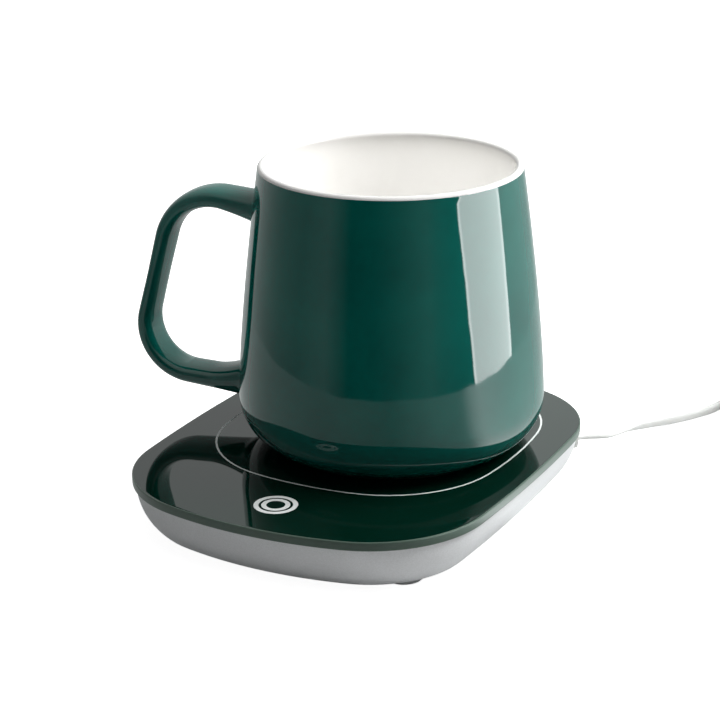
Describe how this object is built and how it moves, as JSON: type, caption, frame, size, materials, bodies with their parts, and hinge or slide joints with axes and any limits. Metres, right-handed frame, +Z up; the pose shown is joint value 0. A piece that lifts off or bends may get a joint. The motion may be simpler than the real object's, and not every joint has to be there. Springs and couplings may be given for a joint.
{
  "type": "mug warmer with mug",
  "caption": "Low electric mug warmer with a glass top, touch key and thin lead, and the belly-shaped ceramic mug with a loop handle that stands on it.",
  "frame": {"origin": "on the table, under the middle of the pad", "axes": "+Z up, -Y towards the touch key at the pad's front, +X to the pad's right"},
  "size_m": [0.2088, 0.2313, 0.1065],
  "materials": {
    "glazed_stoneware": "gloss glaze, green outside and white inside",
    "tempered_glass": "gloss, painted dark green on its back",
    "mark_ink": "screen-printed",
    "silver_paint": "satin silver paint on moulded plastic",
    "grey_plastic": "moulded",
    "foam_tape": "matt",
    "aluminium_plate": "milled",
    "heating_film": "amber film",
    "felt": "needled felt",
    "zinc_steel": "zinc plated",
    "circuit_board": "solder mask",
    "black_epoxy": "moulded",
    "white_nylon": "moulded",
    "fuse_body": "moulded",
    "wire_sleeve": "extruded",
    "foot_rubber": "matt",
    "cord_sheath": "satin",
    "nickel_plate": "bright",
    "gold_plate": "bright"
  },
  "bodies": {
    "warmer": {"glass_top": "tempered_glass", "zone_line": "mark_ink", "touch_symbol": "mark_ink", "base_shell": "silver_paint", "glass_carrier": "grey_plastic", "glass_gasket": "foam_tape", "heater_plate": "aluminium_plate", "heater_film": "heating_film", "insulation_felt": "felt", "heater_retainer": "zinc_steel", "retainer_screws": "zinc_steel", "thermistor": "black_epoxy", "thermal_fuse": "fuse_body", "control_board": "circuit_board", "touch_spring": "zinc_steel", "indicator_led": "white_nylon", "control_chip": "black_epoxy", "power_transistor": "black_epoxy", "filter_capacitor": "aluminium_plate", "wire_connectors": "white_nylon", "board_screws": "zinc_steel", "heater_wires": "wire_sleeve", "sensor_wires": "wire_sleeve", "supply_wires": "wire_sleeve", "case_screws": "zinc_steel", "rubber_feet": "foot_rubber", "cord_gland": "cord_sheath", "cord_clamp": "white_nylon", "clamp_screws": "zinc_steel", "cord_inside": "cord_sheath", "power_cord": "cord_sheath", "cord_coil": "cord_sheath", "cord_tie": "cord_sheath", "cord_tail": "cord_sheath", "plug_grip": "cord_sheath", "plug_shell": "nickel_plate", "plug_tongue": "white_nylon", "plug_contacts": "gold_plate"},
    "mug": {"mug_body": "glazed_stoneware", "mug_handle": "glazed_stoneware"}
  },
  "joints": [
    {"name": "mug_lift", "type": "slide", "parent": "warmer", "child": "mug", "axis": [0, 0, 1], "range_m": [0, 0.12]}
  ]
}
